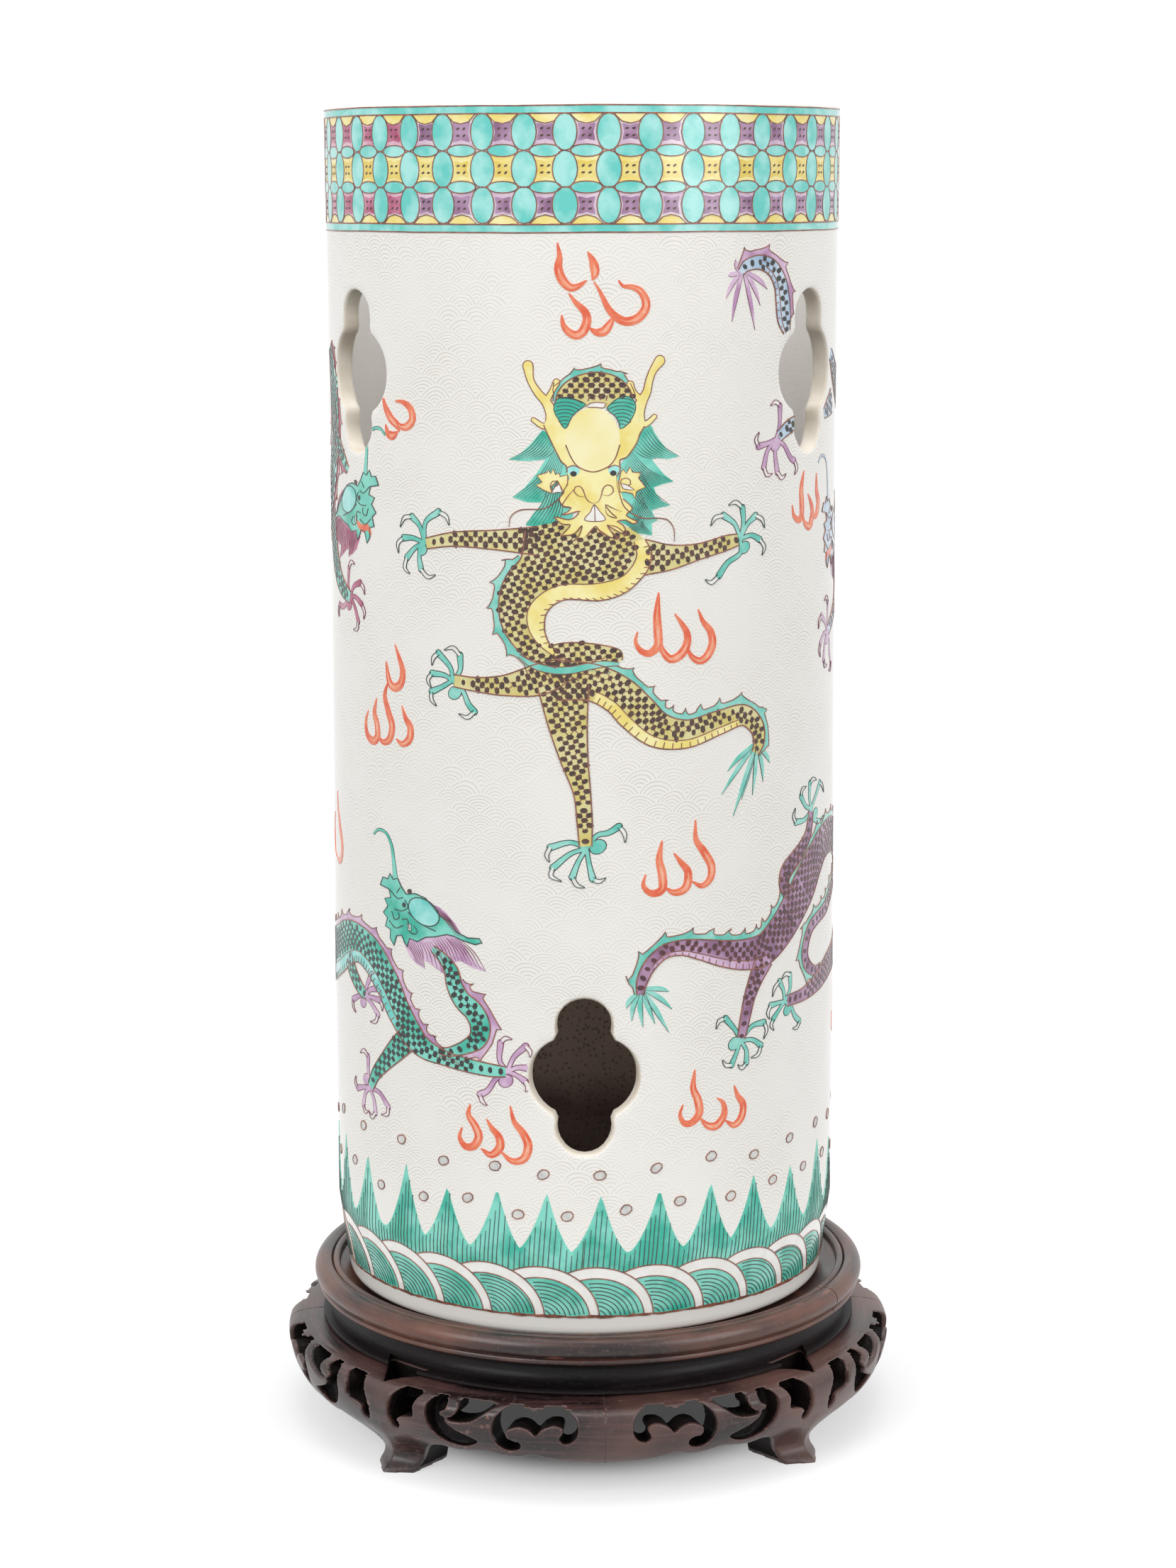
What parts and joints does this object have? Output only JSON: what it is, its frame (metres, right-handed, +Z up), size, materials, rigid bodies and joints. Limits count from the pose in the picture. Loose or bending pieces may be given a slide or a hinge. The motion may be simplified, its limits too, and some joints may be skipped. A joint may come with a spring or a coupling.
{
  "type": "porcelain hat stand",
  "caption": "Tall pierced porcelain tube painted with dragons, standing in the round recess of a low carved hardwood stand with cabriole feet.",
  "frame": {"origin": "on the surface it stands on, under the centre of the wooden stand", "axes": "+Z up, -Y towards the front, with the front opening of the lower row"},
  "size_m": [0.1496, 0.1496, 0.3188],
  "materials": {
    "glazed_porcelain": "gloss",
    "carved_hardwood": "satin",
    "panel_wood": "matte",
    "peg_wood": "matte"
  },
  "bodies": {
    "stand": {"rim_half_front": "carved_hardwood", "rim_half_back": "carved_hardwood", "floor_panel": "panel_wood", "waist_ring": "carved_hardwood", "apron_leg_front_left": "carved_hardwood", "apron_leg_front_right": "carved_hardwood", "apron_leg_back_right": "carved_hardwood", "apron_leg_back_left": "carved_hardwood", "leg_peg_front_left": "peg_wood", "leg_peg_front_right": "peg_wood", "leg_peg_back_right": "peg_wood", "leg_peg_back_left": "peg_wood", "apron_dowel_front": "peg_wood", "apron_dowel_right": "peg_wood", "apron_dowel_back": "peg_wood", "apron_dowel_left": "peg_wood", "rim_peg_front_1": "peg_wood", "rim_peg_front_2": "peg_wood", "rim_peg_back_1": "peg_wood", "rim_peg_back_2": "peg_wood", "rim_dowel_left": "peg_wood", "rim_dowel_right": "peg_wood"},
    "tube": {"porcelain_tube": "glazed_porcelain"}
  },
  "joints": [
    {"name": "porcelain_lift", "type": "slide", "parent": "stand", "child": "tube", "axis": [0, 0, 1], "range_m": [0, 0.05]}
  ]
}
